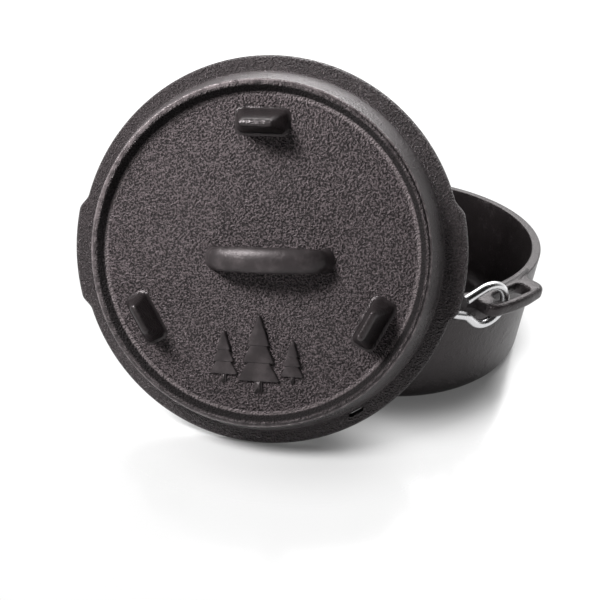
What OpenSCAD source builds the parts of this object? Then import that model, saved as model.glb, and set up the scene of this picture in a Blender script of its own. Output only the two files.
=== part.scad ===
// Camp dutch oven in cast iron: a flat-bottomed pot with two slotted ears,
// a lid that turns over into a griddle, and a bent wire bail.
// Millimetres, +Z up. The pot stands on Z = 0 with its axis on the Z axis.
// The lid stands on its edge in front of the pot and leans towards it.

/* [Pot] */
// outer diameter of the rim
pot_d = 207; // [180:1:240]
// height of the rim above the table
pot_h = 74.3; // [62:0.1:90]
// width of the flat land on top of the rim
rim_w = 5.6; // [4:0.1:8]
// how much the wall draws in from the rim to the base, on the radius
wall_draft = 2.4; // [1:0.1:5]
// thickness of the wall near the base
wall_t = 5.2; // [4:0.1:8]
// thickness of the floor
floor_t = 6; // [4:0.1:9]
// outside round between wall and base
base_round = 8; // [3:0.5:14]

/* [Ears] */
// direction of the near ear, seen from above
ear_a = -47.8; // [-70:0.1:-20]
// width of an ear along the rim
ear_w = 46; // [40:1:54]
// reach of an ear beyond the rim
ear_reach = 14.8; // [14:0.1:18]
// thickness of an ear
ear_t = 7.4; // [6:0.1:9]
// length of the slot along the rim
slot_l = 26; // [24:0.5:28]
// width of the slot, across the rim
slot_w = 8.8; // [8:0.1:10]
// land left between the rim and the slot
slot_land = 1.2; // [1:0.1:2]

/* [Lid] */
// outer diameter of the flange
lid_d = 210; // [184:1:244]
// thickness of the flange
flange_t = 7; // [5:0.1:9]
// width of the flange outside the raised part
flange_w = 8.6; // [6:0.1:12]
// height of the plate above the flange
plate_h = 12.2; // [8:0.1:16]
// thickness of the plate
plate_t = 7; // [5:0.1:9]
// height of the coal lip above the flange
lip_h = 17.6; // [14:0.1:22]
// radius lost by the outside of the lip on its way up
lip_draft = 8.2; // [4:0.1:12]
// width of the lip along its top
lip_w = 2.6; // [2:0.1:5]
// depth of the ring that drops inside the pot rim
ring_h = 2.2; // [1.5:0.1:2.5]
// gap all round between that ring and the pot
ring_gap = 0.9; // [0.4:0.1:2]

/* [Lugs] */
// reach of the lifting lugs beyond the flange
lug_reach = 3.3; // [2:0.1:6]
// half of the angle that a lug covers
lug_half = 16; // [10:0.5:20]
// how much thicker a lug is than the flange
lug_rise = 0.6; // [0.3:0.1:2]

/* [Handle and feet] */
// length of the loop handle
handle_l = 66; // [54:1:80]
// how far the middle of the handle lies to the side
handle_shift = 6.5; // [0:0.5:8]
// width of the handle bar
handle_w = 13; // [10:0.5:16]
// thickness of the handle bar
handle_t = 7.5; // [6:0.5:9]
// radius of the shallow arch in the middle of the handle
arch_r = 70; // [50:1:110]
// radius of the bends at the handle's ends
shoulder_r = 10; // [7:0.5:12]
// height of the feet above the plate
foot_h = 17; // [15:0.5:22]
// room left between the handle top and the table when the lid is turned over
foot_spare = 1; // [0.5:0.5:3]
// length of a foot at the plate
foot_l = 26; // [20:0.5:34]
// width of a foot at the plate
foot_w = 11.4; // [9:0.1:15]
// width of the flat top of a foot
foot_top = 3.4; // [2.5:0.1:6]
// length that each end of a foot loses on its way up
foot_draft = 5; // [2:0.5:7]
// radius of the circle that the feet stand on
foot_r = 65.1; // [58:0.1:68]
// height of the cast relief on the plate
relief_h = 0.8; // [0.4:0.1:1.5]

/* [Bail] */
// diameter of the bail wire
wire_d = 5; // [4:0.1:5.5]
// middle radius of the eye that goes round an ear
eye_r = 12.3; // [11:0.1:13]
// height of the bail above its hinge line
bail_h = 104; // [92:1:116]
// distance between the two upper corners of the bail
bow_w = 88; // [60:1:110]
// angle of the bail above the horizontal, as it lies on the rim
bail_rest = 30; // [24:0.5:36]

/* [Standing lid] */
// lean of the lid from the vertical
lid_lean = 24.1; // [18:0.1:30]
// how far the lid is turned about its own middle
lid_turn = 2.5; // [-10:0.5:10]
// the lid stands this far to the left of the pot axis
lid_side = 65.3; // [50:0.1:80]
// distance from the flange face back to the pot rim
lid_back = 14.5; // [14:0.1:20]

/* [Hidden] */
$fn = 96;
over = 1;
rim_r = pot_d / 2;
mouth_r = rim_r - rim_w;
base_r = rim_r - wall_draft;
lid_r = lid_d / 2;
ring_r = mouth_r - ring_gap;
wall_r = lid_r - flange_w;
lip_r = wall_r - lip_draft;
plate_r = lip_r - lip_w - 2.4;
ear_r = rim_r + ear_reach;
slot_r = rim_r + slot_land + slot_w / 2;
arm_y = (ear_w + slot_l) / 4;
hinge_a = ear_a - atan(arm_y / slot_r);
hinge_z = pot_h - ear_t / 2;
// a bar or a wire is this much fatter where it is bent
swell = 0.1;
eye_x = norm([arm_y, slot_r]) - 1.6;
// directions of the three feet, from the middle of the lid
foot_a = [88, 209, 333];
lid_z = lid_r * cos(lid_lean) + flange_t * sin(lid_lean);
lid_y = -rim_r - (lid_back + sin(lid_lean) * (pot_h - lid_z)) / cos(lid_lean);

// Corner piece between two straight edges that leave point p at angles a and b,
// hollowed to radius r: added to an inside corner, taken off an outside one.
// It reaches a little past both edges, so that it meets them in clear crossings.
module corner(p, a, b, r) {
    half = (b - a) / 2;
    run = r / tan(half);
    mid = r / sin(half);
    c = p + mid * [cos(a + half), sin(a + half)];
    past = 1.25;
    difference() {
        polygon([for (q = [p, p + run * [cos(a), sin(a)], c, p + run * [cos(b), sin(b)]]) c + past * (q - c)]);
        translate(c) circle(r);
    }
}

// Flat bar outline with rounded corners, its middle on the origin.
module rounded(l, w, r) {
    square([l - 2 * r, w], center = true);
    square([l, w - 2 * r], center = true);
    for (x = [-1, 1]) {
        for (y = [-1, 1]) {
            translate([x * (l / 2 - r), y * (w / 2 - r)]) circle(r);
        }
    }
}

// Pot

module pot_section() {
    lean = atan(wall_draft / pot_h);
    difference() {
        polygon([[0, 0], [base_r, 0], [rim_r, pot_h], [0, pot_h]]);
        corner([base_r, 0], 90 - lean, 180, base_round);
        corner([rim_r, pot_h], 180, 270 - lean, 0.8);
        difference() {
            polygon([[0, floor_t], [base_r - wall_t, floor_t], [mouth_r, pot_h], [mouth_r, pot_h + over],
                     [0, pot_h + over]]);
            corner([base_r - wall_t, floor_t], 90 - lean, 180, base_round + 2);
        }
    }
}

// Slotted ear, flush with the rim. Its inner edge is buried in the wall.
module ear_outline() {
    difference() {
        intersection() {
            circle(ear_r);
            translate([rim_r - 4, 0]) rounded(2 * (ear_reach + 4), ear_w, 9);
        }
        circle(mouth_r + rim_w / 2);
        translate([slot_r, 0]) rounded(slot_w, slot_l, 3.6);
    }
}

module pot() {
    color([0.13, 0.125, 0.12]) {
        rotate_extrude() pot_section();
        for (a = [ear_a, ear_a + 180]) {
            rotate([0, 0, a]) translate([0, 0, pot_h - ear_t]) linear_extrude(ear_t) ear_outline();
        }
    }
}

// Lid, drawn face up with the upper face of its flange on Z = 0

module lid_section() {
    rise = atan(lip_draft / lip_h);
    under = plate_h - plate_t;
    difference() {
        union() {
            polygon([[0, -flange_t], [lid_r, -flange_t], [lid_r, 0], [wall_r, 0], [lip_r, lip_h],
                     [lip_r - lip_w, lip_h], [plate_r, plate_h], [0, plate_h]]);
            translate([0, -flange_t - ring_h]) square([ring_r, flange_t + ring_h]);
            corner([wall_r, 0], 0, 90 + rise, 5);
            corner([plate_r, plate_h], atan((lip_h - plate_h) / (lip_r - lip_w - plate_r)), 180, 2.5);
        }
        corner([lip_r, lip_h], 180, 270 + rise, 1.1);
        corner([lid_r, 0], 180, 270, 1.2);
        corner([lid_r, -flange_t], 90, 180, 0.8);
        difference() {
            polygon([[0, under], [plate_r - 2, under], [ring_r - 5.5, -5], [ring_r - 3.5, -flange_t - ring_h],
                     [ring_r - 3.5, -flange_t - ring_h - over], [0, -flange_t - ring_h - over]]);
            corner([plate_r - 2, under], 180, 180 + 132, 9);
        }
    }
}

// Lifting lug: a thicker sector of the flange with slanted ends.
module lug() {
    r = lid_r + lug_reach;
    w = r * sin(lug_half);
    translate([0, 0, -flange_t]) linear_extrude(flange_t + lug_rise) intersection() {
        difference() {
            circle(r);
            circle(wall_r - 1);
        }
        polygon([[wall_r * 0.9, -w - 2], [lid_r * cos(lug_half) - 4, -w - 4], [r * cos(lug_half) + 2, -w + 2],
                 [r + 4, -w + 4], [r + 4, w - 4], [r * cos(lug_half) + 2, w - 2],
                 [lid_r * cos(lug_half) - 4, w + 4], [wall_r * 0.9, w + 2]]);
    }
}

// Slit for a thermometer probe at the foot of the lip, with its groove under the flange.
module probe_slit() {
    translate([wall_r + 2, 0, -flange_t - over]) linear_extrude(flange_t + 2 * over) rounded(2.2, 9, 1);
    translate([ring_r - 6, -4.5, -flange_t - ring_h - over]) cube([lid_r - ring_r + 8, 9, ring_h + 2 * over]);
}

// Pine tree in low relief, its foot on the origin.
module pine(h) {
    polygon([[-h * 0.04, 0], [h * 0.04, 0], [h * 0.04, h * 0.2], [-h * 0.04, h * 0.2]]);
    for (t = [0:2]) {
        w = h * (0.27 - 0.07 * t);
        polygon([[-w, h * (0.14 + 0.24 * t)], [w, h * (0.14 + 0.24 * t)], [0, h * (0.56 + 0.22 * t)]]);
    }
}

// Plain camp scene between the lower feet: three pines.
module relief() {
    linear_extrude(relief_h + over) {
        translate([-17, -66]) pine(30);
        translate([2, -71]) pine(44);
        translate([20, -65]) pine(25);
    }
}

// Foot: a wedge with a steep inner face and a sloping outer face.
// Both side views are drafted, and their common part is the block.
module foot() {
    top = foot_top / 2;
    end = foot_l / 2 - foot_draft;
    draft_in = 0.3;
    lean_in = atan(draft_in / foot_h);
    lean_out = atan((foot_w - foot_top - draft_in) / foot_h);
    lean_end = atan(foot_draft / foot_h);
    deep = foot_h + over;
    crown = 1.2;
    intersection() {
        rotate([90, 0, 90]) translate([0, 0, -foot_l]) linear_extrude(2 * foot_l) difference() {
            polygon([[-top - deep * tan(lean_out), -over], [top + deep * tan(lean_in), -over], [top, foot_h],
                     [-top, foot_h]]);
            corner([top, foot_h], 180, 270 + lean_in, crown);
            corner([-top, foot_h], -90 - lean_out, 0, crown);
        }
        rotate([90, 0, 0]) translate([0, 0, -foot_l]) linear_extrude(2 * foot_l) difference() {
            polygon([[-end - deep * tan(lean_end), -over], [end + deep * tan(lean_end), -over], [end, foot_h],
                     [-end, foot_h]]);
            corner([end, foot_h], 180, 270 + lean_end, crown);
            corner([-end, foot_h], -90 - lean_end, 0, crown);
        }
    }
}

// Part of the handle bar: an arc of radius r round centre c, from angle a to angle b off the upright.
module bar(c, r, a, b, extra) {
    t = handle_t + extra;
    translate([c.x, 0, c.y]) rotate([90, 0, 0]) rotate([0, 0, 90 - b]) rotate_extrude(angle = b - a)
        translate([r, 0]) rounded(t, handle_w + extra, t * 0.47);
}

// Loop handle: a shallow arch that bends down into the plate, with a flared root at each end.
module handle() {
    mid_z = foot_h - foot_spare - handle_t / 2;
    reach = handle_l / 2 - handle_t / 2;
    half = asin((reach - shoulder_r) / (arch_r - shoulder_r));
    arch = [0, mid_z - arch_r];
    side = arch + (arch_r - shoulder_r) * [sin(half), cos(half)];
    run_in = 0.4;
    bar(arch, arch_r, -half - run_in, half + run_in, 0);
    for (m = [0, 1]) {
        mirror([m, 0, 0]) {
            bar(side, shoulder_r, half, 96, swell);
            translate([reach, 0, 0]) rotate_extrude() {
                square([handle_w / 2 - 0.6, 2]);
                corner([handle_w / 2 - 0.6, 0], 0, 90, 2.6);
            }
        }
    }
}

module lid_casting() {
    difference() {
        union() {
            rotate_extrude() lid_section();
            for (a = [0, 180]) rotate([0, 0, a]) lug();
            translate([handle_shift, 0, plate_h]) handle();
            translate([0, 0, plate_h - over]) relief();
            for (a = foot_a) {
                rotate([0, 0, a]) translate([foot_r, 0, plate_h]) rotate([0, 0, 90]) foot();
            }
        }
        rotate([0, 0, -57]) probe_slit();
    }
}

module lid() {
    color([0.14, 0.13, 0.125]) translate([-lid_side, lid_y, lid_z]) rotate([90 - lid_lean, 0, 0])
        rotate([0, 0, lid_turn]) lid_casting();
}

// Bail, drawn flat: X along the hinge line, Y out to the bow, Z across the bail

// points that the centre line of one half is bent at
tip = [-eye_x, 1.374 * eye_r, -0.138 * eye_r];
neck = [-eye_x, 0.83 * eye_r, -0.821 * eye_r];
knee = [0.057 * eye_r - eye_x, 1.667 * eye_r, -0.992 * eye_r];
bow = [-bow_w / 2, bail_h, 0];
mid = [0, bail_h, 0];
// bend radii at the neck, the knee and the corner of the bow
bend_r = wire_d * [0, 1.8, 2.8, 8, 0];
// a straight length of wire runs this far into a bend
lap = 0.3;

function unit(v) = v / norm(v);
function turn_of(a, b) = acos(unit(a) * unit(b));
// length that the bend at point i takes off the straights beside it
function cut(p, r, i) = i == 0 || i == len(p) - 1 ? 0 : r[i] * tan(turn_of(p[i] - p[i - 1], p[i + 1] - p[i]) / 2);

// Straight length of wire.
module rod(p, q) {
    d = unit(q - p);
    translate(p - lap * d) rotate([0, acos(d.z), atan2(d.y, d.x)]) cylinder(d = wire_d, h = norm(q - p) + 2 * lap);
}

// Bend of radius r that starts at p in direction d and turns by angle t towards n.
module bend(p, d, n, r, t) {
    x = -n;
    z = cross(x, d);
    translate(p + r * n) rotate([atan2(d.z, z.z), -asin(x.z), atan2(x.y, x.x)])
        rotate_extrude(angle = t) translate([r, 0]) circle(d = wire_d + swell);
}

// Wire along the points of list p, with bend radius r[i] at each inner point.
// The length after the last bend is left out, because both halves of the bail share it.
module wire_path(p, r) {
    last = len(p) - 1;
    for (i = [0:last - 2]) {
        d = unit(p[i + 1] - p[i]);
        rod(p[i] + cut(p, r, i) * d, p[i + 1] - cut(p, r, i + 1) * d);
    }
    for (i = [1:last - 1]) {
        d = unit(p[i] - p[i - 1]);
        e = unit(p[i + 1] - p[i]);
        n = unit(e - (e * d) * d);
        bend(p[i] - cut(p, r, i) * d, d, n, r[i], turn_of(d, e));
    }
}

// One half: the eye lies square to the hinge line, then the neck, the leg and the corner of the bow.
module bail_half() {
    a0 = atan2(tip.z, tip.y) + acos(eye_r / norm([tip.y, tip.z]));
    a1 = 360 + atan2(neck.z, neck.y) - acos(eye_r / norm([neck.y, neck.z]));
    from = [-eye_x, eye_r * cos(a0), eye_r * sin(a0)];
    to = [-eye_x, eye_r * cos(a1), eye_r * sin(a1)];
    path = [to, neck, knee, bow, mid];
    rod(tip, from);
    translate([-eye_x, 0, 0]) rotate([90, 0, 90]) rotate([0, 0, a0]) rotate_extrude(angle = a1 - a0)
        translate([eye_r, 0]) circle(d = wire_d + swell);
    wire_path(path, bend_r);
}

// The two halves are alike, turned half a turn about the middle line, so the pot hangs level.
module bail() {
    top = bow_w / 2 - cut([neck, knee, bow, mid], [0, 0, bend_r[3], 0], 2);
    color([0.78, 0.79, 0.8]) translate([0, 0, hinge_z]) rotate([0, 0, hinge_a + 180]) rotate([bail_rest, 0, 0]) {
        for (a = [0, 180]) rotate([0, a, 0]) bail_half();
        rod([-top, bail_h, 0], [top, bail_h, 0]);
    }
}

pot();
lid();
bail();
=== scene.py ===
# %% [markdown]
# # A cast-iron camp oven
# Two iron castings and one bent wire: a pot, a lid that stands on its edge in front of it, and a bail.
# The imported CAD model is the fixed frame. Each piece here is built in the same millimetres as the solid
# it stands for, then scaled to metres, so nothing has to be fitted by eye.

# %% Load the frame
import math

import bmesh
import bpy
import numpy as np
from mathutils import Matrix, Vector


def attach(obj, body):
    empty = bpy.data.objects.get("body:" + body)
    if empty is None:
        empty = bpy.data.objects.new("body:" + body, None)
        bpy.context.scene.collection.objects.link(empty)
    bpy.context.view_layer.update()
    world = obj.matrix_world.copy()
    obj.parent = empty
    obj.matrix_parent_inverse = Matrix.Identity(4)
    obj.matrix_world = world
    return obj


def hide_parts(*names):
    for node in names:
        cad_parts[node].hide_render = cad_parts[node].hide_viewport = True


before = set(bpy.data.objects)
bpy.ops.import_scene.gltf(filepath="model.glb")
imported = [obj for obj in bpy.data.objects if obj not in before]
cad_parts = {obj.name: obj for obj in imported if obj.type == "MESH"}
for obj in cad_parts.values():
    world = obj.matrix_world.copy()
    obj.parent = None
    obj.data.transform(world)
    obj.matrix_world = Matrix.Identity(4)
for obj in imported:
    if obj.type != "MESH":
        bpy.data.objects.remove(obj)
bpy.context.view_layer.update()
MM = 0.001

# %% [markdown]
# ## The places of the three pieces
# The pot's axis is the Z axis. The lid leans on a line across it, so its own frame is a turn about X followed by
# a move. The bail has a frame on its hinge line, with Y out to the bow. Each piece is drawn flat in its own frame.

# %% Sizes that the pieces share
RIM_R, RIM_W, POT_H = 103.5, 5.6, 74.3
LID_R, FLANGE_T, FLANGE_W, PLATE_H = 105.0, 7.0, 8.6, 12.2
LIP_H, LIP_W, LIP_DRAFT, LIP_SLOPE = 17.6, 2.6, 8.2, 2.4
EAR_A, EAR_W, EAR_REACH, EAR_T = -47.8, 46.0, 14.8, 7.4
SLOT_L, SLOT_W, SLOT_R = 26.0, 8.8, 109.1
LEAN, LID_TURN, LID_SIDE, LID_BACK = math.radians(24.1), math.radians(2.5), 65.3, 14.5
FOOT_H, FOOT_R, FOOT_ANGLES = 17.0, 65.1, (88, 209, 333)
SLIT_R, SLIT_A = 98.4, math.radians(-57)
WIRE_D, EYE_R, EYE_INSET = 5.0, 12.3, 1.6
BAIL_H, BOW_W, BAIL_REST = 104.0, 88.0, math.radians(30)

wall_r = LID_R - FLANGE_W
lip_r = wall_r - LIP_DRAFT
lip_in = lip_r - LIP_W
plate_r = lip_in - LIP_SLOPE
lid_z = LID_R * math.cos(LEAN) + FLANGE_T * math.sin(LEAN)
lid_y = -RIM_R - (LID_BACK + math.sin(LEAN) * (POT_H - lid_z)) / math.cos(LEAN)
arm_y = (EAR_W + SLOT_L) / 4
hinge_a = math.radians(EAR_A) - math.atan2(arm_y, SLOT_R)
hinge_z = POT_H - EAR_T / 2
eye_x = math.hypot(arm_y, SLOT_R) - EYE_INSET

POT_PLACE = Matrix.Identity(4)
LID_PLACE = (Matrix.Translation((-LID_SIDE, lid_y, lid_z)) @ Matrix.Rotation(math.pi / 2 - LEAN, 4, "X")
             @ Matrix.Rotation(LID_TURN, 4, "Z"))
BAIL_PLACE = (Matrix.Translation((0, 0, hinge_z)) @ Matrix.Rotation(hinge_a + math.pi, 4, "Z")
              @ Matrix.Rotation(BAIL_REST, 4, "X"))
print("lid centre", [round(v, 1) for v in LID_PLACE.translation])
print("bail hinge", round(math.degrees(hinge_a), 2), "degrees at", hinge_z, "mm")

# %% [markdown]
# ## Rounded outlines
# A casting has no sharp edge. Every section is written as a list of corners, each with the radius of its round,
# and one function turns the corners into short arcs. A bevel could do the same, but it would have to be told
# which edges to take.

# %% Corners to arcs
def rounded(corners, closed=False, steps=6):
    """Points of an outline whose corners are (x, y, radius)."""
    n = len(corners)
    points = []
    for i, (x, y, r) in enumerate(corners):
        p = np.array((x, y), float)
        if r == 0 or (not closed and i in (0, n - 1)):
            points.append(p)
            continue
        a = np.array(corners[i - 1][:2], float) - p
        b = np.array(corners[(i + 1) % n][:2], float) - p
        room = 0.49 * min(np.linalg.norm(a), np.linalg.norm(b))
        a /= np.linalg.norm(a)
        b /= np.linalg.norm(b)
        half = math.acos(np.clip(a @ b, -1, 1)) / 2
        run = min(r / math.tan(half), room)
        r = run * math.tan(half)
        middle = p + (a + b) / np.linalg.norm(a + b) * r / math.sin(half)
        start, end = p + a * run - middle, p + b * run - middle
        sweep = math.atan2(start[0] * end[1] - start[1] * end[0], start @ end)
        for k in range(steps + 1):
            t = sweep * k / steps
            c, s = math.cos(t), math.sin(t)
            points.append(middle + np.array((c * start[0] - s * start[1], s * start[0] + c * start[1])))
    return points


def thicken(points, most):
    """Adds points so that no step of an open outline is longer than most."""
    out = [points[0]]
    for p, q in zip(points, points[1:]):
        n = max(1, math.ceil(np.linalg.norm(q - p) / most))
        out += [p + (q - p) * (k + 1) / n for k in range(n)]
    return out


print("a round corner:", len(rounded([(0, 0, 0), (9, 0, 2), (9, 9, 0)])), "points")

# %% [markdown]
# ## From mesh to piece
# A piece's object stays at the origin, and its place goes into its mesh, as in the CAD model. A pattern on Object
# coordinates then lies still on the piece.

# %% New objects
def put(name, data):
    """A new object in the scene."""
    thing = bpy.data.objects.new(name, data)
    bpy.context.scene.collection.objects.link(thing)
    return thing


def plain_mesh(thing):
    """The mesh that an object's modifiers make."""
    return bpy.data.meshes.new_from_object(thing.evaluated_get(bpy.context.evaluated_depsgraph_get()))


def new_piece(name, bm, place):
    """Turns a bmesh in millimetres into an object at the origin, in metres, with its normals outwards."""
    bmesh.ops.remove_doubles(bm, verts=bm.verts, dist=1e-4)
    bmesh.ops.recalc_face_normals(bm, faces=bm.faces)
    mesh = bpy.data.meshes.new(name)
    bm.to_mesh(mesh)
    bm.free()
    mesh.transform(Matrix.Scale(MM, 4) @ place)
    mesh.shade_smooth()
    print(name, "has", len(mesh.polygons), "faces")
    return put(name, mesh)


# %% [markdown]
# ## Writing node trees as sums
# A finish is easier to read as `0.4 + 0.2 * grain` than as a row of boxes. One class holds a socket and turns
# Python's operators into Math nodes. A second holds a tree, and makes any other node from its type, its settings
# and its inputs. Shapes, finishes and the room all use them.

# %% Sockets and trees
class Field:
    """A socket that can be used in arithmetic."""

    def __init__(self, graph, socket):
        self.graph, self.socket = graph, socket

    def __add__(self, other):
        return self.graph.maths("ADD", self, other)

    def __radd__(self, other):
        return self.graph.maths("ADD", other, self)

    def __sub__(self, other):
        return self.graph.maths("SUBTRACT", self, other)

    def __rsub__(self, other):
        return self.graph.maths("SUBTRACT", other, self)

    def __mul__(self, other):
        return self.graph.maths("MULTIPLY", self, other)

    def __rmul__(self, other):
        return self.graph.maths("MULTIPLY", other, self)


class Graph:
    """A node tree. Each call adds a node and gives one of its outputs."""

    def __init__(self, tree):
        self.tree = tree

    def feed(self, socket, value):
        if isinstance(value, Field):
            self.tree.links.new(value.socket, socket)
        else:
            socket.default_value = value

    def node(self, kind, settings=None, inputs=None, out=0):
        n = self.tree.nodes.new(kind)
        for key, value in (settings or {}).items():
            setattr(n, key, value)
        for key, value in (inputs or {}).items():
            self.feed(n.inputs[key], value)
        return Field(self, n.outputs[out])

    def maths(self, operation, first, second=0.0):
        return self.node("ShaderNodeMath", {"operation": operation}, {0: first, 1: second})

    def part(self, vector, axis):
        return self.node("ShaderNodeSeparateXYZ", None, {0: vector}, axis)

    def ramp(self, value, start, end, first=0.0, last=1.0):
        """Goes smoothly from first to last as the value goes from start to end."""
        return self.node("ShaderNodeMapRange", {"interpolation_type": "SMOOTHSTEP"}, {
            "Value": value, "From Min": start, "From Max": end, "To Min": first, "To Max": last})


# %% [markdown]
# ## Trees that make shapes
# What repeats or follows a rule is made by Geometry Nodes. Each tree takes a row of points, named sizes and a
# finish. It ends in Realize Instances and Set Material, and its result is kept as a plain mesh.

# %% Shape trees
class ShapeTree(Graph):
    """A Geometry Nodes tree that works on a row of points."""

    def __init__(self, name, **sizes):
        super().__init__(bpy.data.node_groups.new(name, "GeometryNodeTree"))
        face = self.tree.interface
        for label, kind in {"Points": "Geometry", **sizes, "Finish": "Material"}.items():
            face.new_socket(label, in_out="INPUT", socket_type="NodeSocket" + kind)
        face.new_socket("Shape", in_out="OUTPUT", socket_type="NodeSocketGeometry")
        self.given = self.tree.nodes.new("NodeGroupInput")

    def take(self, label):
        return Field(self, self.given.outputs[label])

    def close(self, shape):
        real = self.node("GeometryNodeRealizeInstances", None, {0: shape})
        done = self.node("GeometryNodeSetMaterial", None, {"Geometry": real, "Material": self.take("Finish")})
        self.feed(self.tree.nodes.new("NodeGroupOutput").inputs[0], done)
        print("tree", self.tree.name, "has", len(self.tree.nodes), "nodes")
        return self

    def run(self, points, joined=True, **values):
        """Runs the tree on the points, joined in a line or loose, and gives what it makes as a bmesh."""
        edges = [(i, i + 1) for i in range(len(points) - 1)] if joined else []
        mesh = bpy.data.meshes.new("row")
        mesh.from_pydata([tuple(p) for p in points], edges, [])
        worker = put("row", mesh)
        modifier = worker.modifiers.new("tree", "NODES")
        modifier.node_group = self.tree
        for item in self.tree.interface.items_tree:
            if item.in_out == "INPUT" and item.name in values:
                modifier[item.identifier] = values[item.name]
        made = plain_mesh(worker)
        worker.modifiers.remove(modifier)
        bpy.data.objects.remove(worker)
        bm = bmesh.new()
        bm.from_mesh(made)
        bpy.data.meshes.remove(made)
        return bm


# %% [markdown]
# ## A lathe
# The pot and the lid are both turned shapes, so one tree makes either. It lays a grid, reads the section's points
# by row number, and turns each column about the axis. A spin in mesh code gives the same shape, but the tree keeps
# the number of steps as an input that can be changed and seen at once.

# %% The lathe tree
def lathe_tree():
    t = ShapeTree("lathe", Steps="Int")
    section, steps = t.take("Points"), t.take("Steps")
    rows = t.node("GeometryNodeAttributeDomainSize", {"component": "MESH"}, {0: section}, "Point Count")
    grid = t.node("GeometryNodeMeshGrid", None, {"Vertices X": steps + 1, "Vertices Y": rows}, "Mesh")
    index = t.node("GeometryNodeInputIndex")
    row = t.maths("MODULO", index, rows)
    column = t.maths("FLOOR", t.maths("DIVIDE", index, rows))
    angle = t.maths("DIVIDE", column, steps) * (2 * math.pi)
    point = t.node("GeometryNodeSampleIndex", {"data_type": "FLOAT_VECTOR", "domain": "POINT"}, {
        "Geometry": section, "Value": t.node("GeometryNodeInputPosition"), "Index": row})
    spun = t.node("ShaderNodeVectorRotate", {"rotation_type": "Z_AXIS"}, {"Vector": point, "Angle": angle})
    skin = t.node("GeometryNodeSetPosition", None, {"Geometry": grid, "Position": spun})
    return t.close(t.node("GeometryNodeMergeByDistance", None, {0: skin, "Distance": 1e-7}))


LATHE = lathe_tree()


def turned(section, steps, finish):
    """A bmesh of the section (r, z) turned about Z."""
    return LATHE.run([(r, 0, z) for r, z in section], Steps=steps, Finish=finish)


# %% [markdown]
# ## Finishes
# A finish is a tree that ends in a surface. All of them read Object coordinates, in metres, so a scale of 980 is
# a pattern of about a millimetre.

# %% Finish trees
class Finish(Graph):
    """One material, made node by node."""

    def __init__(self, name):
        self.material = bpy.data.materials.new(name)
        self.material.use_nodes = True
        super().__init__(self.material.node_tree)
        self.tree.nodes.clear()
        self.end = self.tree.nodes.new("ShaderNodeOutputMaterial")

    def place(self):
        return self.node("ShaderNodeTexCoord", out="Object")

    def scaled(self, place, by):
        return self.node("ShaderNodeVectorMath", {"operation": "MULTIPLY"}, {0: place, 1: by})

    def away(self, place, spot=(0, 0, 0)):
        """How far a place lies from a spot."""
        return self.node("ShaderNodeVectorMath", {"operation": "DISTANCE"}, {0: place, 1: spot}, "Value")

    def noise(self, place, scale, detail, rough):
        return self.node("ShaderNodeTexNoise", None, {
            "Vector": place, "Scale": scale, "Detail": detail, "Roughness": rough})

    def mix(self, share, first, second):
        return self.node("ShaderNodeMix", {"data_type": "RGBA"}, {"Factor": share, 6: first, 7: second}, 2)

    def bump(self, height, strength, distance):
        return self.node("ShaderNodeBump", None, {"Height": height, "Strength": strength, "Distance": distance})

    def surface(self, shader):
        self.feed(self.end.inputs["Surface"], shader)
        print("finish", self.material.name, "has", len(self.tree.nodes), "nodes")
        return self.material


# %% [markdown]
# ## Seasoned iron
# Sand leaves a pebbled skin on a casting, and baked oil fills it with a thin dark satin film. Grains of about a
# millimetre give the bump. Their tops are rubbed lighter and their pits stay dark, which the eye reads as grain
# even in flat light. A slower pattern changes colour and gloss a little, as the oil does.

# %% Iron
PIT, TOP = (0.009, 0.0075, 0.0077, 1), (0.155, 0.128, 0.134, 1)
# The lighter rubbed colour is wear on the lip's crest and a painted highlight along the plate's brink.
# The near-black colour is painted shade, on the lip's inner side and in the slit.
RUBBED_AND_HIGHLIGHT, SHADE_BLACK = (0.23, 0.197, 0.202, 1), (0.005, 0.0043, 0.0044, 1)
GLINT = (1, 0.91, 0.93, 1)


def iron(name, gloss, tone, zones):
    """Seasoned iron. zones(f, at) gives how grainy and light each place is, its wear with painted highlight, and
    its painted shade, from 0 to 1.
    """
    f = Finish(name)
    at = f.place()
    grain, light, wear_and_highlight, painted_shade = zones(f, at)
    sand = f.noise(at, 980.0, 2, 0.5)
    swell = f.noise(at, 210.0, 3, 0.5)
    oil = f.noise(at, 42.0, 4, 0.6)
    top = f.ramp(sand, 0.42, 0.60)
    height = 4.4 * sand * grain + 0.14 * swell
    share = 1.1 * grain * (0.3 + 0.7 * light) * (top - 0.42) + 0.15 * oil + 0.36 * light + tone
    # The near-black colour laid on top is painted shade.
    # The rubbed colour here is wear on the crest and a painted highlight on the brink.
    colour = f.mix(painted_shade, f.mix(wear_and_highlight, f.mix(share, PIT, TOP), RUBBED_AND_HIGHLIGHT), SHADE_BLACK)
    rough = (gloss - 0.06) + 0.12 * oil + 0.3 * grain * (1 - top) + 0.5 * painted_shade
    return f.surface(f.node("ShaderNodeBsdfPrincipled", None, {
        "Base Color": colour, "Roughness": rough, "Normal": f.bump(height, 1.0, 0.0014), "IOR": 1.5,
        "Specular IOR Level": 0.5, "Specular Tint": GLINT}))
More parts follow.
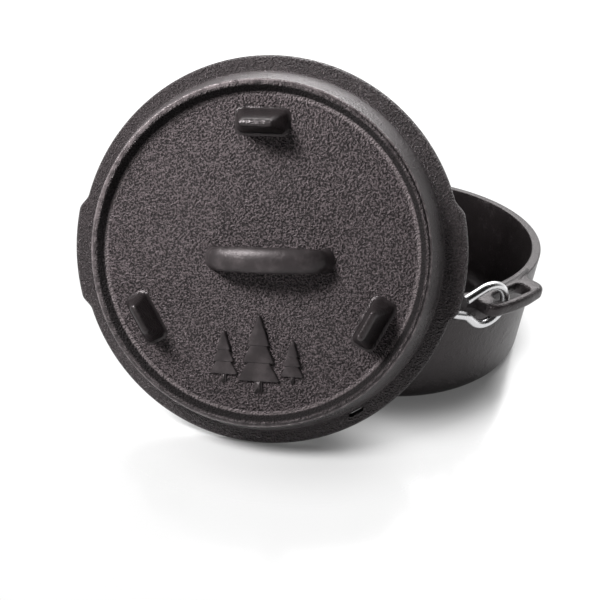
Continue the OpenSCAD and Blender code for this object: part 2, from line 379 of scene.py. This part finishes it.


# %% [markdown]
# ## Where the iron is rough or worn, and where light and shade are painted
# The lid's plate keeps the sand's grain and its outer wall is turned smooth. The lip's crest is worn. A light
# rubbed colour along the brink of the plate is a painted highlight, and a near-black colour on the lip's inner
# side and in the slit is painted shade. The plate is painted lighter than the lip and the flange, whose darker
# colour is partly painted shade. The pot is smooth all over, and hands polish the handle. The zones follow the
# lid's own radii and height, so they stay on their edges from any side.

# %% Zones of the castings
def lid_zones(f, at):
    flat = f.node("ShaderNodeMapping", {"vector_type": "TEXTURE"}, {
        "Vector": at, "Location": LID_PLACE.translation * MM, "Rotation": (math.pi / 2 - LEAN, 0, 0)})
    across = f.scaled(flat, (1, 1, 0))
    r, up = f.away(across), f.part(flat, "Z")
    slit_way = SLIT_A + LID_TURN
    slit_away = f.away(across, Vector((math.cos(slit_way), math.sin(slit_way), 0)) * SLIT_R * MM)

    def past(value, start, end):
        """0 before start and 1 after end, in millimetres."""
        return f.ramp(value, start * MM, end * MM)

    flange = past(r, wall_r - 1.4, wall_r + 0.6)
    wall = past(r, lip_r - 2.0, lip_r - 0.6) * (1 - flange)
    crest = past(up, LIP_H - 1.6, LIP_H - 0.4) * past(r, lip_in - 0.6, lip_in + 0.6)
    crest = crest * (1 - past(r, lip_r - 0.2, lip_r + 0.8))
    on_top = past(up, PLATE_H - 1.2, PLATE_H - 0.2)
    # Painted highlight: the plate's brink takes the light rubbed colour all round.
    painted_brink_highlight = past(r, plate_r - 2.2, plate_r - 1.2) * (1 - past(r, plate_r - 0.3, plate_r + 0.4)) * on_top
    # Painted shade: the lip's inner side takes the near-black colour all round.
    painted_lip_shade = past(r, plate_r - 0.1, plate_r + 0.7) * (1 - past(r, lip_in - 0.6, lip_in + 0.1)) * on_top
    # Painted shade: the slit takes the near-black colour.
    slit = (1 - past(slit_away, 5.2, 6.0)) * (1 - past(up, -0.8, -0.1)) * (1 - past(r, 99.5, 99.9))
    patches = f.ramp(f.noise(at, 260.0, 3, 0.6), 0.35, 0.65)
    grain = 1 - 0.9 * wall - 0.35 * flange
    # The plate is painted lighter than the lip and the flange; their darker colour is partly painted shade.
    light = 1 - past(r, plate_r - 1.2, plate_r + 0.3)
    # Wear in patches on the crest, and the painted highlight on the brink.
    wear_and_highlight = crest * (0.1 + 0.45 * patches) + 0.9 * painted_brink_highlight
    return grain, light, wear_and_highlight, 0.97 * painted_lip_shade + slit


def smooth_zones(f, at):
    patches = f.ramp(f.noise(at, 120.0, 3, 0.6), 0.52, 0.75)
    return 0.05 + 0.07 * patches, 0, 0.05 * patches, 0


def satin_zones(f, at):
    patches = f.ramp(f.noise(at, 120.0, 3, 0.6), 0.4, 0.7)
    return 0.03 * patches, 0, 0.12 * patches, 0


GRAINY = iron("grainy_iron", 0.28, 0.1, lid_zones)
SMOOTH = iron("smooth_iron", 0.33, -0.035, smooth_zones)
SATIN = iron("satin_iron", 0.46, -0.02, satin_zones)

# %% [markdown]
# ## Plated wire
# The bail is steel wire with a thin bright plating. Drawing leaves faint streaks, so gloss changes a little.

# %% Wire finish
DULL, BRIGHT = (0.66, 0.66, 0.67, 1), (0.8, 0.8, 0.81, 1)


def plated_wire():
    f = Finish("plated_wire")
    streak = f.noise(f.place(), 260.0, 3, 0.6)
    return f.surface(f.node("ShaderNodeBsdfPrincipled", None, {
        "Base Color": f.mix(streak, DULL, BRIGHT), "Metallic": 1.0, "Roughness": 0.2 + 0.14 * streak,
        "Normal": f.bump(streak, 0.12, 0.0004)}))


WIRE = plated_wire()

# %% [markdown]
# ## The pot
# A shallow turned shape with a flat base. The wall is a little thinner than the rim, and the rim is a plain land.

# %% Pot wall
WALL_DRAFT, WALL_T, FLOOR_T, BASE_ROUND, RIM_ROUND = 2.4, 5.2, 6.0, 8.0, 0.9
base_r = RIM_R - WALL_DRAFT
pot_section = thicken(rounded([
    (0, 0, 0), (base_r, 0, BASE_ROUND), (RIM_R, POT_H, RIM_ROUND), (RIM_R - RIM_W, POT_H, RIM_ROUND),
    (base_r - WALL_T, FLOOR_T, BASE_ROUND + 2), (0, FLOOR_T, 0)]), 6)
pot = new_piece("pot_casting", turned(pot_section, 240, SMOOTH), POT_PLACE)

# %% [markdown]
# ## Plates with round edges
# The ears and the pines are flat plates with soft edges. An outline is pulled in step by step along a quarter of a
# circle, which rounds the edge without a bevel.

# %% Flat plate
def shifted(points, by):
    """A closed outline moved inwards by a distance."""
    p = np.array(points)
    ahead, behind = np.roll(p, -1, 0) - p, p - np.roll(p, 1, 0)
    along = ahead / np.linalg.norm(ahead, axis=1)[:, None] + behind / np.linalg.norm(behind, axis=1)[:, None]
    along /= np.linalg.norm(along, axis=1)[:, None]
    return p + by * np.stack([-along[:, 1], along[:, 0]], 1)


def edge_rings(points, low, high, r, part=1.0, steps=4):
    """Rings of a plate's side, from its lower face to its upper face, with both edges round.
    part can be a column with a share for each point, where the round fades out."""
    turns = [math.pi / 2 * k / steps for k in range(steps + 1)]
    rings = [(shifted(points, part * r * (1 - math.sin(t))), low + r * (1 - math.cos(t))) for t in turns]
    return rings + [(shifted(points, part * r * (1 - math.cos(t))), high - r * (1 - math.sin(t))) for t in turns]


def add_band(bm, first, second):
    """Faces between two closed rings of as many points."""
    for i in range(len(first)):
        j = (i + 1) % len(first)
        bm.faces.new((first[i], first[j], second[j], second[i]))


def add_side(bm, rings):
    """Walls between the rings. Gives the first and last ring's points."""
    made = [[bm.verts.new((x, y, z)) for x, y in ring] for ring, z in rings]
    for a, b in zip(made, made[1:]):
        add_band(bm, a, b)
    return made[0], made[-1]


def even(points, count):
    """The same closed outline with evenly spaced points."""
    p = np.array(list(points) + [points[0]])
    s = np.concatenate([[0], np.cumsum(np.linalg.norm(np.diff(p, axis=0), axis=1))])
    t = np.linspace(0, s[-1], count, endpoint=False)
    return np.stack([np.interp(t, s, p[:, 0]), np.interp(t, s, p[:, 1])], 1)


def box_corners(half_x, half_y, r, middle_x=0.0):
    """The corners of a box with round corners, from the first quarter on."""
    return [(middle_x + x * half_x, y * half_y, r) for x, y in ((1, 1), (-1, 1), (-1, -1), (1, -1))]


# %% [markdown]
# ## The ears
# A slotted plate on each side of the rim, flush with it, with a fillet where its sides leave the pot. Each point
# of the slot lies on the line from the slot's middle to a point of the outline, so the faces between them never
# cross. The plate stands a hair above the rim, because two faces in one plane would flicker.

# %% Ears
EAR_CORNER, EAR_FILLET, EAR_EDGE, SLOT_CORNER, SLOT_EDGE = 7.0, 6.0, 2.4, 3.6, 1.6
EAR_SPREAD, EAR_SINK, EAR_PROUD, EDGE_START, EDGE_FADE = 9.0, 1.4, 0.12, 0.5, 2.5


def ear_outline():
    ear_r, half = RIM_R + EAR_REACH, EAR_W / 2
    arc = [(math.sqrt(ear_r ** 2 - y ** 2), y, 0) for y in np.linspace(-half, half, 13)]
    root = math.asin((half + EAR_SPREAD) / RIM_R)
    side_x = math.sqrt(RIM_R ** 2 - half ** 2)
    tip_r, in_r = RIM_R - EAR_SINK, RIM_R - 2 * EAR_SINK
    tip_x, tip_y = tip_r * math.cos(root), tip_r * math.sin(root)
    outline = [(in_r * math.cos(a), in_r * math.sin(a), 0) for a in np.linspace(root, -root, 15)]
    outline += [(tip_x, -tip_y, 0), (side_x, -half, EAR_FILLET), (*arc[0][:2], EAR_CORNER)]
    outline += arc[4:-4]
    return outline + [(*arc[-1][:2], EAR_CORNER), (side_x, half, EAR_FILLET), (tip_x, tip_y, 0)]


def slot_points(edge):
    """The slot's edge, with a point on the line from its middle to each point of the outer edge."""
    hole = even(rounded(box_corners(SLOT_W / 2, SLOT_L / 2, SLOT_CORNER), True), 400)
    way = np.arctan2(edge[:, 1], edge[:, 0] - SLOT_R)
    hole_way, hole_r = np.arctan2(hole[:, 1], hole[:, 0]), np.hypot(hole[:, 0], hole[:, 1])
    away = np.interp(way, hole_way, hole_r, period=2 * math.pi)
    return np.stack([SLOT_R + away * np.cos(way), away * np.sin(way)], 1)


def ear(name, angle):
    edge = even(rounded(ear_outline(), True), 160)
    hole = slot_points(edge)
    out_of_rim = np.clip((np.hypot(edge[:, 0], edge[:, 1]) - RIM_R + EDGE_START) / EDGE_FADE, 0, 1)[:, None]
    low, high = POT_H - EAR_T, POT_H + EAR_PROUD
    bm = bmesh.new()
    outer_low, outer_high = add_side(bm, edge_rings(edge, low, high, EAR_EDGE, out_of_rim))
    inner_low, inner_high = add_side(bm, edge_rings(hole[::-1], low, high, SLOT_EDGE))
    add_band(bm, outer_high, inner_high[::-1])
    add_band(bm, outer_low, inner_low[::-1])
    return new_piece(name, bm, Matrix.Rotation(math.radians(angle), 4, "Z"))


near_ear, far_ear = ear("near_ear", EAR_A), ear("far_ear", EAR_A + 180)

# %% [markdown]
# ## The lid's turned part
# Flange, coal lip, plate, locating ring and hollow underside are one section.

# %% Lid plate
PLATE_T, RING_H, RING_W, RING_GAP = 7.0, 2.2, 3.5, 0.9
ring_r = RIM_R - RIM_W - RING_GAP
ring_z = -FLANGE_T - RING_H
under = PLATE_H - PLATE_T
lid_section = thicken(rounded([
    (0, PLATE_H, 0), (plate_r, PLATE_H, 2.2), (lip_in, LIP_H, 1.1), (lip_r, LIP_H, 1.2), (wall_r, 0.3, 4.5),
    (LID_R, -1.3, 2.4), (LID_R, -FLANGE_T, 1.2), (ring_r, -FLANGE_T, 0.8), (ring_r, ring_z, 0.5),
    (ring_r - RING_W, ring_z, 0.5), (ring_r - RING_W - 2, -5, 2), (plate_r - 2, under, 8), (0, under, 0)]), 5)
lid_skin = turned(lid_section, 480, GRAINY)
print("lid section", len(lid_section), "points,", len(lid_skin.faces), "faces")

# %% [markdown]
# ## Lifting lugs
# At both sides the flange swells a little outwards and upwards, for a grip. The turned skin is pushed out there,
# so the lugs run into the flange without a seam.

# %% Lugs
LUG_REACH, LUG_RISE, LUG_FULL, LUG_NONE = 3.3, 0.6, math.radians(13.2), math.radians(18)


def smooth_step(x):
    x = min(max(x, 0), 1)
    return x * x * (3 - 2 * x)


def add_lugs(skin):
    start = wall_r + 0.5
    for v in skin.verts:
        r = math.hypot(v.co.x, v.co.y)
        if r <= start:
            continue
        off_axis = abs(math.atan2(v.co.y, abs(v.co.x)))
        share = smooth_step((LUG_NONE - off_axis) / (LUG_NONE - LUG_FULL))
        grow = 1 + share * LUG_REACH * (r - start) / (LID_R - start) / r
        lift = share * LUG_RISE * smooth_step((r - wall_r - 2) / 3) if v.co.z > -2 else 0
        v.co = (v.co.x * grow, v.co.y * grow, v.co.z + lift)


add_lugs(lid_skin)
lid = new_piece("lid_casting", lid_skin, LID_PLACE)

# %% [markdown]
# ## The probe slit
# A thermometer lead goes through a short slit at the foot of the lip. A cutter with round ends is taken out of the
# casting with a Boolean modifier, and the result is kept as a plain mesh.

# %% Slit
SLIT_L, SLIT_W, SLIT_ROUND = 9.0, 2.2, 1.0


def cut_slit(piece):
    ends = rounded(box_corners(SLIT_W / 2, SLIT_L / 2, SLIT_ROUND, SLIT_R), True)
    bm = bmesh.new()
    for cap in add_side(bm, [(ends, -FLANGE_T - 3), (ends, 6)]):
        bm.faces.new(cap)
    cutter = new_piece("cutter", bm, LID_PLACE @ Matrix.Rotation(SLIT_A, 4, "Z"))
    modifier = piece.modifiers.new("slit", "BOOLEAN")
    modifier.object, modifier.solver = cutter, "EXACT"
    cut = plain_mesh(piece)
    piece.modifiers.remove(modifier)
    piece.data = cut
    bpy.data.objects.remove(cutter)
    cut.set_sharp_from_angle(angle=math.radians(50))


cut_slit(lid)
print("with the slit the lid has", len(lid.data.polygons), "faces")

# %% [markdown]
# ## Lofted bosses
# Feet and handle grow out of the plate with a fillet at the root. Both are stacks of closed rings, and the size of
# a ring follows the height or the way along the bar.

# %% Rings to a skin
def add_loft(bm, rings, cap_first, cap_last):
    """Skin over rings of 3-D points, with a fan over the ends that are asked for."""
    made = [[bm.verts.new(tuple(p)) for p in ring] for ring in rings]
    for a, b in zip(made, made[1:]):
        add_band(bm, a, b)
    for wanted, ring, points in ((cap_first, made[0], rings[0]), (cap_last, made[-1], rings[-1])):
        if wanted:
            middle = bm.verts.new(tuple(np.mean(points, axis=0)))
            for i in range(len(ring)):
                bm.faces.new((ring[i], ring[(i + 1) % len(ring)], middle))


def at_height(ring, z):
    return np.column_stack([ring, np.full(len(ring), z)])


# %% [markdown]
# ## A foot
# The lid stands on three feet when it is turned over. Each is a wedge, steep on the inner side and sloping on the
# outer one. All are alike, so only one is lofted.

# %% One foot
def foot_mesh():
    half_l, draft_l, half_top, draft_in, draft_out, root, crown = 13.0, 5.0, 1.7, 0.3, 7.7, 1.8, 1.3
    corner, shoulder = 2.6, FOOT_H - crown
    heights = list(np.linspace(-0.2, root, 7)) + list(np.linspace(root, shoulder, 8)[1:])
    heights += [shoulder + crown * math.sin(math.pi / 2 * k / 6) for k in range(1, 7)]
    rings = []
    for h in heights:
        low = 1 - h / FOOT_H
        flare = root - math.sqrt(max(0, root ** 2 - (root - min(max(h, 0), root)) ** 2))
        up = max(0, h - shoulder) / crown
        close = crown * (1 - math.sqrt(max(0, 1 - up * up))) * 0.94
        inner = half_top + draft_in * low + flare - close
        outer = half_top + draft_out * low + flare - close
        long, wide = half_l - draft_l * (1 - low) + flare - close, (inner + outer) / 2
        r = min(corner + flare, long * 0.98, wide * 0.98)
        ring = even(rounded(box_corners(long, wide, r), True), 72)
        rings.append(at_height(ring + np.array((0, (inner - outer) / 2)), h))
    bm = bmesh.new()
    add_loft(bm, rings, False, True)
    mesh = bpy.data.meshes.new("foot")
    bm.to_mesh(mesh)
    bm.free()
    mesh.transform(Matrix.Rotation(math.pi / 2, 4, "Z"))
    return mesh


foot = bpy.data.objects.new("foot", foot_mesh())
print("one foot has", len(foot.data.polygons), "faces")

# %% [markdown]
# ## Three feet
# A small tree sets the foot on three points and turns each copy to face the middle. Copies made by hand would do
# too, but here a foot moves with its point.

# %% Feet on their points
def feet_tree():
    t = ShapeTree("feet")
    shape = t.node("GeometryNodeObjectInfo", None, {"Object": foot}, "Geometry")
    spot = t.node("GeometryNodeInputPosition")
    spin = t.node("ShaderNodeCombineXYZ", None, {"Z": t.maths("ARCTAN2", t.part(spot, "Y"), t.part(spot, "X"))})
    return t.close(t.node("GeometryNodeInstanceOnPoints", None, {
        "Points": t.take("Points"), "Instance": shape, "Rotation": spin}))


ways = [math.radians(a) for a in FOOT_ANGLES]
stands = [(FOOT_R * math.cos(a), FOOT_R * math.sin(a), PLATE_H) for a in ways]
feet = new_piece("lid_feet", feet_tree().run(stands, joined=False, Finish=SMOOTH), LID_PLACE)
bpy.data.objects.remove(foot)

# %% [markdown]
# ## The loop handle
# An oval bar with a shallow arch. At both ends it bends down into the plate and swells at the root.

# %% Handle
BAR_L, BAR_W, BAR_T, BAR_SHIFT, BAR_SPARE = 66.0, 13.0, 7.5, 6.5, 1.0
ARCH_R, SHOULDER_R, OVAL_POWER = 70.0, 10.0, 2.1
FLARE_H, FLARE, TAPER = 3.5, 1.4, 1.3


def handle_line(reach, mid_z):
    """Centre line of the bar as (x, z, normal x, normal z): a wide arc between two tight ones."""
    half = math.asin((reach - SHOULDER_R) / (ARCH_R - SHOULDER_R))
    arch_z = mid_z - ARCH_R
    side = np.array((math.sin(half), math.cos(half))) * (ARCH_R - SHOULDER_R) + (0, arch_z)
    line = []
    for a in np.linspace(0, half, 14):
        line.append((ARCH_R * math.sin(a), arch_z + ARCH_R * math.cos(a), math.sin(a), math.cos(a)))
    for a in np.linspace(half, math.radians(97), 22)[1:]:
        line.append((*(side + SHOULDER_R * np.array((math.sin(a), math.cos(a)))), math.sin(a), math.cos(a)))
    return [(-x, z, -u, v) for x, z, u, v in line[:0:-1]] + line


def handle():
    mid_z = FOOT_H - BAR_SPARE - BAR_T / 2
    turn = np.linspace(0, 2 * math.pi, 56, endpoint=False)
    oval = np.stack([np.cos(turn), np.sin(turn)], 1)
    oval = np.sign(oval) * np.abs(oval) ** (2 / OVAL_POWER)
    rings = []
    for x, z, u, v in handle_line((BAR_L - BAR_T) / 2, mid_z):
        swell = FLARE * max(0, 1 - max(z, 0) / FLARE_H) ** 2
        slim = TAPER * smooth_step((mid_z - z) / mid_z)
        across, out = oval[:, 0] * (BAR_W / 2 - slim + swell), oval[:, 1] * (BAR_T / 2 + swell * 0.8)
        rings.append(np.column_stack([x + BAR_SHIFT + out * u, across, z + PLATE_H + out * v]))
    bm = bmesh.new()
    add_loft(bm, rings, True, True)
    return new_piece("lid_handle", bm, LID_PLACE)


loop = handle()

# %% [markdown]
# ## A relief on the plate
# Three pines in low relief. Each is a trunk and three tiers, and a tier lies a little higher than the one below.
# Every tier is a plate with soft edges and a convex outline, so pulling it in never makes the edge cross itself.

# %% Pines
PINES = ((-17, -66, 30), (2, -71, 44), (20, -65, 25))
TRUNK_HALF, TRUNK_TOP = 0.05, 0.18
TIERS = ((0.14, 0.60, 0.27), (0.37, 0.80, 0.20), (0.58, 1.0, 0.135))
TRUNK_RISE, TIER_RISE, TIER_STEP, TIER_SINK, TIER_EDGE = 1.2, 1.5, 0.4, 1.6, 0.8


def add_tier(bm, corners, rise):
    rings = edge_rings(rounded(corners, True, 5), PLATE_H - TIER_SINK, PLATE_H + rise, TIER_EDGE)
    add_loft(bm, [at_height(ring, z) for ring, z in rings], False, True)


def pines():
    bm = bmesh.new()
    for x, y, h in PINES:
        left, right, top = x - TRUNK_HALF * h, x + TRUNK_HALF * h, y + TRUNK_TOP * h
        add_tier(bm, [(left, y, 0.6), (right, y, 0.6), (right, top, 0.6), (left, top, 0.6)], TRUNK_RISE)
        for i, (low, tip, half) in enumerate(TIERS):
            add_tier(bm, [(x - half * h, y + low * h, 0.9), (x + half * h, y + low * h, 0.9),
                          (x, y + tip * h, 0.9)], TIER_RISE + TIER_STEP * i)
    return new_piece("lid_relief", bm, LID_PLACE)


trees = pines()

# %% [markdown]
# ## The bail's line
# The bail is one wire, bent in many places. Its centre line is a list of corners with a bend radius each. The
# second half is the first after half a turn about the middle line.

# %% The wire's centre line
def bend_path(corners, radii, steps):
    """Centre line through 3-D corners, with round bends."""
    points = [corners[0]]
    for i in range(1, len(corners) - 1):
        d, e = corners[i] - corners[i - 1], corners[i + 1] - corners[i]
        d, e = d / np.linalg.norm(d), e / np.linalg.norm(e)
        turn = math.acos(np.clip(d @ e, -1, 1))
        n = e - (e @ d) * d
        n /= np.linalg.norm(n)
        start = corners[i] - radii[i] * math.tan(turn / 2) * d
        for k in range(steps + 1):
            t = turn * k / steps
            points.append(start + radii[i] * ((1 - math.cos(t)) * n + math.sin(t) * d))
    return points


def bail_line():
    tip = np.array((-eye_x, 1.374 * EYE_R, -0.138 * EYE_R))
    neck = np.array((-eye_x, 0.83 * EYE_R, -0.821 * EYE_R))
    knee = np.array((0.057 * EYE_R - eye_x, 1.667 * EYE_R, -0.992 * EYE_R))
    bow = np.array((-BOW_W / 2, BAIL_H, 0))
    middle = np.array((0, BAIL_H, 0))
    first = math.atan2(tip[2], tip[1]) + math.acos(EYE_R / math.hypot(tip[1], tip[2]))
    last = 2 * math.pi + math.atan2(neck[2], neck[1]) - math.acos(EYE_R / math.hypot(neck[1], neck[2]))
    eye = [np.array((-eye_x, EYE_R * math.cos(a), EYE_R * math.sin(a))) for a in np.linspace(first, last, 72)]
    half = [tip] + eye + bend_path([eye[-1], neck, knee, bow, middle], [0, 9, 14, 40, 0], 14)[1:]
    return half + [p * (-1, 1, -1) for p in half[::-1]]


bail_points = bail_line()
print("bail", len(bail_points), "points")

# %% [markdown]
# ## The bail's wire
# A tree turns the points into a curve and sweeps a circle along it. A curve object with a round bevel gives the
# same wire, but the tree keeps its radius as an input and gives a closed mesh at once.

# %% The wire along the line
def wire_tree():
    t = ShapeTree("wire", Radius="Float")
    line = t.node("GeometryNodeMeshToCurve", None, {"Mesh": t.take("Points")})
    circle = t.node("GeometryNodeCurvePrimitiveCircle", None, {"Resolution": 28, "Radius": t.take("Radius")})
    return t.close(t.node("GeometryNodeCurveToMesh", None, {
        "Curve": line, "Profile Curve": circle, "Fill Caps": True}))


bail = new_piece("bail_wire", wire_tree().run(bail_points, Radius=WIRE_D / 2, Finish=WIRE), BAIL_PLACE)

# %% [markdown]
# ## Which piece stands for what
# Each piece rides on the body that it belongs to, takes a finish, and stands for its CAD solid.

# %% Ride, replace, finish
for piece, body, slot, finish in (
        (pot, "pot", "pot_iron", SMOOTH), (near_ear, "pot", "pot_iron", SMOOTH),
        (far_ear, "pot", "pot_iron", SMOOTH), (lid, "lid", "lid_iron", GRAINY),
        (feet, "lid", "lid_iron", SMOOTH), (loop, "lid", "lid_iron", SATIN),
        (trees, "lid", "lid_iron", SATIN), (bail, "bail", "bail_wire", WIRE)):
    piece.data.materials.clear()
    piece.data.materials.append(finish)
    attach(piece, body)
    print(piece.name, "rides on", body)
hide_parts("pot")
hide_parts("lid")
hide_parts("bail")

# %% [markdown]
# ## The floor
# A pale floor with a soft gloss, so the oven stands on a faint reflection. Far out it shows as plain white to the
# camera and to mirrors, while other light still meets an ordinary floor. Near the oven the ordinary floor shows
# through and holds its real shadow: in front of the pot, under the lid's edge, and wherever something nearly
# touches the floor. That floor is grey, darker than the white, so these zones are partly painted shade, and the
# first two stay where the pot and lid rest.

# %% Floor
SEEN, MIRRORED = ("Is Camera Ray",), ("Is Glossy Ray", "Is Transmission Ray")
PALE, BLACK, WHITE = (0.6, 0.6, 0.6, 1), (0, 0, 0, 1), (1, 1, 1, 1)


def any_ray(graph, names):
    """1 for rays of the named kinds, 0 for the rest."""
    total = graph.node("ShaderNodeLightPath", out=names[0])
    for name in names[1:]:
        total = graph.maths("MAXIMUM", total, graph.node("ShaderNodeLightPath", out=name))
    return total


def floor_finish():
    f = Finish("white_floor")
    at = f.place()
    near = f.node("ShaderNodeBsdfPrincipled", None, {"Base Color": PALE, "Roughness": 0.2})
    far = f.node("ShaderNodeBsdfPrincipled", None, {
        "Base Color": BLACK, "Roughness": 0.18, "Specular IOR Level": 0.9,
        "Emission Color": WHITE, "Emission Strength": 0.925})
    # These masks show the grey floor. It holds real shadow, and because it is darker than the white far out, it is
    # also painted shade.
    pot_away, front_away = f.away(at), f.away(at, (0.012, -0.09, 0))
    lid_away = f.away(f.scaled(at, (0.45, 1, 1)), (-0.027, -0.148, 0))
    open_sky = f.node("ShaderNodeAmbientOcclusion", {"samples": 16}, {"Distance": 0.03}, "AO")
    shaded = (1 - f.ramp(pot_away, 0.1, 0.148)) * (1 - f.ramp(front_away, 0.06, 0.1))
    clear = (1 - shaded) * f.ramp(lid_away, 0.012, 0.045) * f.ramp(open_sky, 0.3, 0.95)
    share = (0.1 + 0.9 * clear) * any_ray(f, SEEN + MIRRORED)
    return f.surface(f.node("ShaderNodeMixShader", None, {0: share, 1: near, 2: far}))


bm = bmesh.new()
bmesh.ops.create_grid(bm, x_segments=1, y_segments=1, size=20000)
floor = new_piece("floor", bm, Matrix.Identity(4))
floor.data.materials.append(floor_finish())

# %% [markdown]
# ## A studio
# A white wall stands behind the oven and lights it. The camera sees white all round, and mirrors see it behind the
# oven and low down. The rest of the room stays dim, so dark iron keeps its contrast.

# %% World
world = bpy.data.worlds.new("studio")
bpy.context.scene.world = world
world.use_nodes = True
world.node_tree.nodes.clear()
room = Graph(world.node_tree)
way = room.node("ShaderNodeTexCoord", out="Generated")
back, up = room.part(way, "Y"), room.part(way, "Z")
back_wall = room.ramp(back, -0.15, 0.45, 0.04, 0.8) * room.ramp(up, 0.15, 0.55, 1.0, 0.2)
white_room = room.maths("MAXIMUM", room.ramp(up, 0.02, 0.15, 1.0, 0.0), room.ramp(back, 0.15, 0.4))
shown = room.maths("MAXIMUM", any_ray(room, SEEN), any_ray(room, MIRRORED) * white_room)
sky = room.node("ShaderNodeBackground", None, {
    "Color": WHITE, "Strength": room.maths("MAXIMUM", back_wall, shown)})
room.feed(room.tree.nodes.new("ShaderNodeOutputWorld").inputs["Surface"], sky)
print("studio has", len(room.tree.nodes), "nodes")

# %% [markdown]
# ## Lamps
# One lamp stands at the upper left and skims the lid, so its grain shows. One behind draws the upper edges. Both
# are wide, as soft boxes are, and the camera doesn't see them.

# %% Lamps
def softbox(name, at, aim, size, watts):
    lamp = bpy.data.lights.new(name, "AREA")
    lamp.shape, lamp.size, lamp.size_y, lamp.energy = "RECTANGLE", size[0], size[1], watts
    holder = put(name, lamp)
    holder.location = at
    holder.rotation_euler = (Vector(aim) - Vector(at)).to_track_quat("-Z", "Y").to_euler()
    holder.visible_camera = False
    print("lamp", name, "gives", watts, "W")


softbox("key", (-0.29, -0.29, 0.47), (-0.08, -0.12, 0.1), (0.14, 0.14), 4.6)
softbox("back", (0.08, 0.58, 0.78), (-0.03, -0.05, 0.1), (0.9, 0.55), 10.5)

# %% [markdown]
# ## The camera
# It stands where the photograph's did. Its place, direction and focal length come from the circles of the lid and
# the pot, which show as ellipses.

# %% Camera
SENSOR, FOCAL_PX, PICTURE_PX = 36, 550.34, 600
camera = put("camera", bpy.data.cameras.new("camera"))
camera.data.sensor_width = SENSOR
camera.data.lens = FOCAL_PX / PICTURE_PX * SENSOR
camera.data.clip_start = 0.01
camera.location = Vector((-2.73, -365.93, 235.07)) * MM
camera.rotation_euler = Vector((-0.1356, 0.8400, -0.5253)).to_track_quat("-Z", "Y").to_euler()
bpy.context.scene.camera = camera
bpy.context.scene.view_settings.view_transform = "Standard"
print("lens", round(camera.data.lens, 2), "mm")
